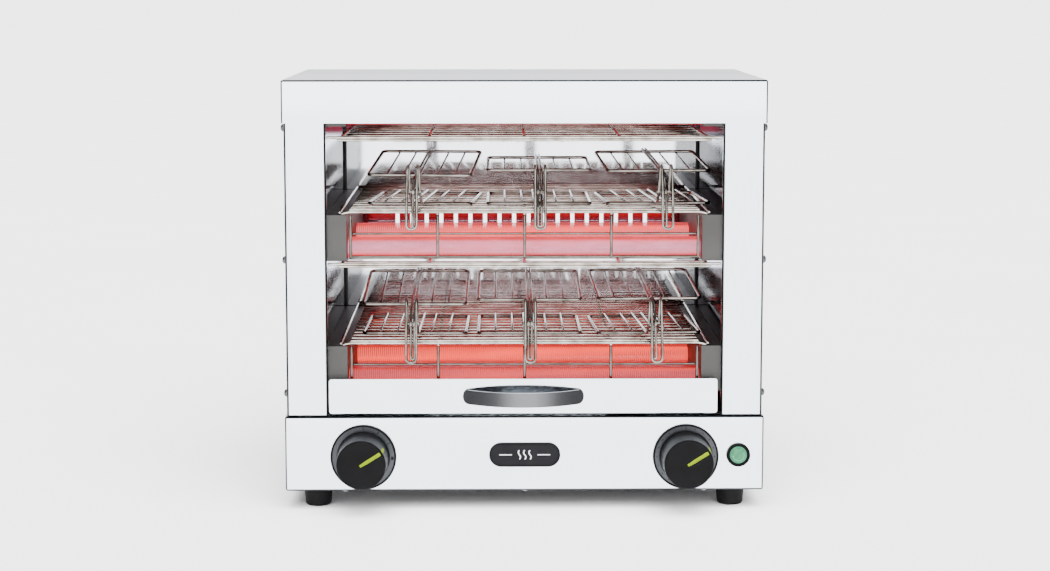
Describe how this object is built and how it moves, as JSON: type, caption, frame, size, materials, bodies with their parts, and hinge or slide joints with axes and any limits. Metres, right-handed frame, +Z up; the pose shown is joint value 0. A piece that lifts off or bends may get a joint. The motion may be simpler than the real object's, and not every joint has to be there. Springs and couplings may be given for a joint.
{
  "type": "infrared quartz snack toaster",
  "caption": "Counter-top two-deck quartz toaster: open steel casing, heating tubes in tiers, wire racks, hinged wire tongs, crumb tray, selector and timer knobs.",
  "frame": {"origin": "bottom centre of the whole object's box, on the surface it stands on", "axes": "+Z up, the open front faces -Y, +X to the right seen from the front"},
  "size_m": [0.4526, 0.322, 0.404],
  "materials": {
    "casing_steel": "bright satin sheet",
    "mirror_steel": "mirror polish",
    "plain_steel": "dull sheet",
    "grey_steel": "satin, darkened by heat",
    "screw_steel": "plated",
    "handle_steel": "dark satin",
    "rack_wire": "bright plated wire",
    "tong_wire": "bright plated wire",
    "quartz": "frosted, glowing",
    "hot_wire": "glowing resistance wire",
    "ceramic": "unglazed",
    "knob_plastic": "satin black, lime pointer",
    "black_plastic": "satin",
    "switch_plastic": "moulded",
    "dial_metal": "anodised, printed marks",
    "badge": "blank pill, black rim",
    "green_lens": "translucent",
    "foot_rubber": "matt"
  },
  "bodies": {
    "casing": {"base_housing": "casing_steel", "base_plate": "plain_steel", "top_cover": "casing_steel", "left_side_panel": "casing_steel", "right_side_panel": "casing_steel", "back_panel": "mirror_steel", "left_inner_wall": "mirror_steel", "right_inner_wall": "mirror_steel", "cavity_floor": "plain_steel", "cavity_ceiling": "plain_steel", "badge_plate": "badge", "feet": "foot_rubber", "panel_screws": "screw_steel", "tube_cover_top_left": "grey_steel", "tube_cover_top_right": "grey_steel", "tube_cover_mid_left": "grey_steel", "tube_cover_mid_right": "grey_steel", "tube_cover_low_left": "grey_steel", "tube_cover_low_right": "grey_steel", "quartz_tube_top_front": "quartz", "quartz_tube_top_rear": "quartz", "quartz_tube_mid_front": "quartz", "quartz_tube_mid_rear": "quartz", "quartz_tube_low_front": "quartz", "quartz_tube_low_rear": "quartz", "heating_coils": "hot_wire", "ceramic_end_caps": "ceramic", "upper_rack": "rack_wire", "lower_rack": "rack_wire", "top_guard": "rack_wire", "mid_guard": "rack_wire", "mid_front_guard": "rack_wire", "low_front_guard": "rack_wire", "selector_dial": "dial_metal", "selector_switch": "switch_plastic", "timer_dial": "dial_metal", "timer_body": "switch_plastic", "pilot_bezel": "black_plastic", "pilot_lens": "green_lens", "terminal_block": "switch_plastic", "cable_gland": "black_plastic"},
    "selector": {"selector_knob": "knob_plastic", "selector_shaft": "screw_steel"},
    "timer": {"timer_knob": "knob_plastic", "timer_shaft": "screw_steel"},
    "crumb_drawer": {"crumb_tray": "casing_steel", "tray_handle": "handle_steel"},
    "tong_1_lower": {"tong_1_lower_jaw": "tong_wire"},
    "tong_1_upper": {"tong_1_upper_jaw": "tong_wire"},
    "tong_2_lower": {"tong_2_lower_jaw": "tong_wire"},
    "tong_2_upper": {"tong_2_upper_jaw": "tong_wire"},
    "tong_3_lower": {"tong_3_lower_jaw": "tong_wire"},
    "tong_3_upper": {"tong_3_upper_jaw": "tong_wire"},
    "tong_4_lower": {"tong_4_lower_jaw": "tong_wire"},
    "tong_4_upper": {"tong_4_upper_jaw": "tong_wire"},
    "tong_5_lower": {"tong_5_lower_jaw": "tong_wire"},
    "tong_5_upper": {"tong_5_upper_jaw": "tong_wire"},
    "tong_6_lower": {"tong_6_lower_jaw": "tong_wire"},
    "tong_6_upper": {"tong_6_upper_jaw": "tong_wire"}
  },
  "joints": [
    {"name": "selector_turn", "type": "hinge", "parent": "casing", "child": "selector", "pos_m": [-0.1515, -0.123, 0.0505], "axis": [0, -1, 0], "range_deg": [-32, 58]},
    {"name": "timer_turn", "type": "hinge", "parent": "casing", "child": "timer", "pos_m": [0.1515, -0.123, 0.0505], "axis": [0, -1, 0], "range_deg": [-242, 58]},
    {"name": "tray_slide", "type": "slide", "parent": "casing", "child": "crumb_drawer", "axis": [0, -1, 0], "range_m": [0, 0.24]},
    {"name": "tong_1_slide", "type": "slide", "parent": "casing", "child": "tong_1_lower", "axis": [0, -1, 0], "range_m": [0, 0.2]},
    {"name": "tong_1_squeeze", "type": "hinge", "parent": "tong_1_lower", "child": "tong_1_upper", "pos_m": [-0.10158, -0.12267, 0.3008], "axis": [0.9962, -0.0872, 0], "range_deg": [-13, 5]},
    {"name": "tong_2_slide", "type": "slide", "parent": "casing", "child": "tong_2_lower", "axis": [0, -1, 0], "range_m": [0, 0.2]},
    {"name": "tong_2_squeeze", "type": "hinge", "parent": "tong_2_lower", "child": "tong_2_upper", "pos_m": [0.014, -0.123, 0.3008], "axis": [1, 0, 0], "range_deg": [-7, 8]},
    {"name": "tong_3_slide", "type": "slide", "parent": "casing", "child": "tong_3_lower", "axis": [0, -1, 0], "range_m": [0, 0.2]},
    {"name": "tong_3_squeeze", "type": "hinge", "parent": "tong_3_lower", "child": "tong_3_upper", "pos_m": [0.12907, -0.12279, 0.3008], "axis": [0.9976, 0.0698, 0], "range_deg": [-10.5, 5]},
    {"name": "tong_4_slide", "type": "slide", "parent": "casing", "child": "tong_4_lower", "axis": [0, -1, 0], "range_m": [0, 0.2]},
    {"name": "tong_4_squeeze", "type": "hinge", "parent": "tong_4_lower", "child": "tong_4_upper", "pos_m": [-0.10452, -0.12299, 0.1773], "axis": [0.9998, -0.0175, 0], "range_deg": [-15, 5]},
    {"name": "tong_5_slide", "type": "slide", "parent": "casing", "child": "tong_5_lower", "axis": [0, -1, 0], "range_m": [0, 0.2]},
    {"name": "tong_5_squeeze", "type": "hinge", "parent": "tong_5_lower", "child": "tong_5_upper", "pos_m": [0.005, -0.123, 0.1773], "axis": [1, 0, 0], "range_deg": [-12.5, 5]},
    {"name": "tong_6_slide", "type": "slide", "parent": "casing", "child": "tong_6_lower", "axis": [0, -1, 0], "range_m": [0, 0.2]},
    {"name": "tong_6_squeeze", "type": "hinge", "parent": "tong_6_lower", "child": "tong_6_upper", "pos_m": [0.12055, -0.12288, 0.1773], "axis": [0.9986, 0.0523, 0], "range_deg": [-12.5, 5]}
  ]
}
